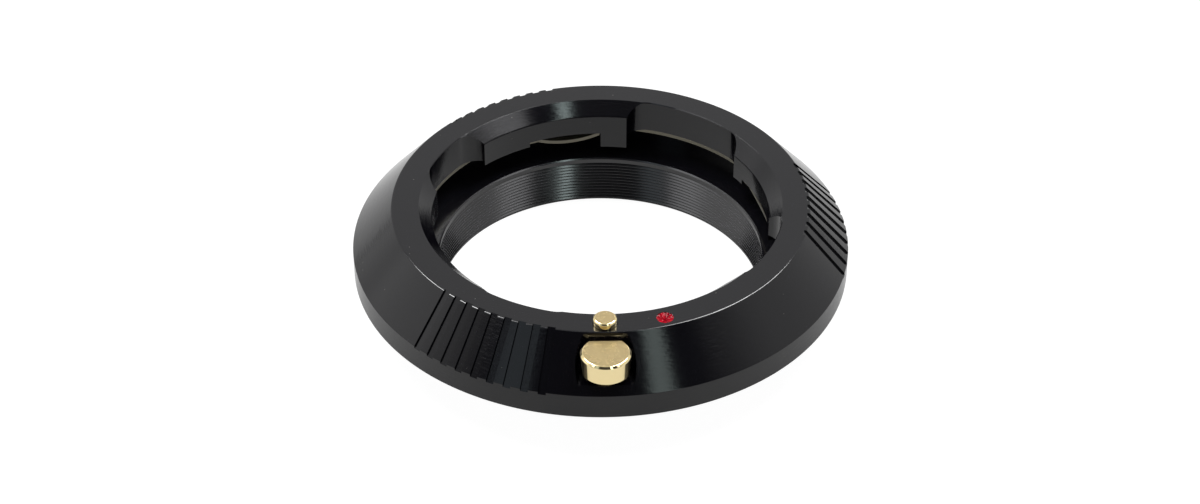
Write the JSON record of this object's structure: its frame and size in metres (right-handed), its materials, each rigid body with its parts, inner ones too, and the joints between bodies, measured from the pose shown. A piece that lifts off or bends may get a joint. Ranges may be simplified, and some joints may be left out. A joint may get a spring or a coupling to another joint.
{
  "type": "lens mount adapter",
  "caption": "Low conical ring with a sprung inner bayonet for a lens, an outer bayonet for a camera behind, and a sliding lock pin worked by a small button.",
  "frame": {"origin": "on the axis of the throat, at the rear end of the throat tube, on which the part stands", "axes": "+Z along the axis towards the lens, -Y towards the release button, +X to the right of the button"},
  "size_m": [0.061, 0.0614, 0.015],
  "materials": {
    "black_anodised": "turned and anodised gloss black",
    "matt_black": "turned and anodised matt black",
    "spring_steel": "blanked and hardened, lightly oiled",
    "small_screws": "blackened slotted screws",
    "gold_plate": "polished and plated",
    "satin_chrome": "turned and satin chromed",
    "red_enamel": "enamel run into a dimple"
  },
  "bodies": {
    "adapter": {"adapter_body": "black_anodised", "leaf_spring_ring": "spring_steel", "spring_ring_screws": "small_screws", "throat_tube": "matt_black", "rear_mount_ring": "satin_chrome", "rear_mount_screws": "small_screws", "return_springs": "spring_steel", "index_dot": "red_enamel"},
    "lock": {"lock_pin": "gold_plate", "release_button": "gold_plate", "lock_plate": "spring_steel", "lock_screws": "small_screws"}
  },
  "joints": [
    {"name": "release_press", "type": "slide", "parent": "adapter", "child": "lock", "axis": [0, 0, -1], "range_m": [0, 0.0009], "stiffness_N_per_m": 300, "springref_m": -0.004, "deforming": ["return_springs"]}
  ]
}
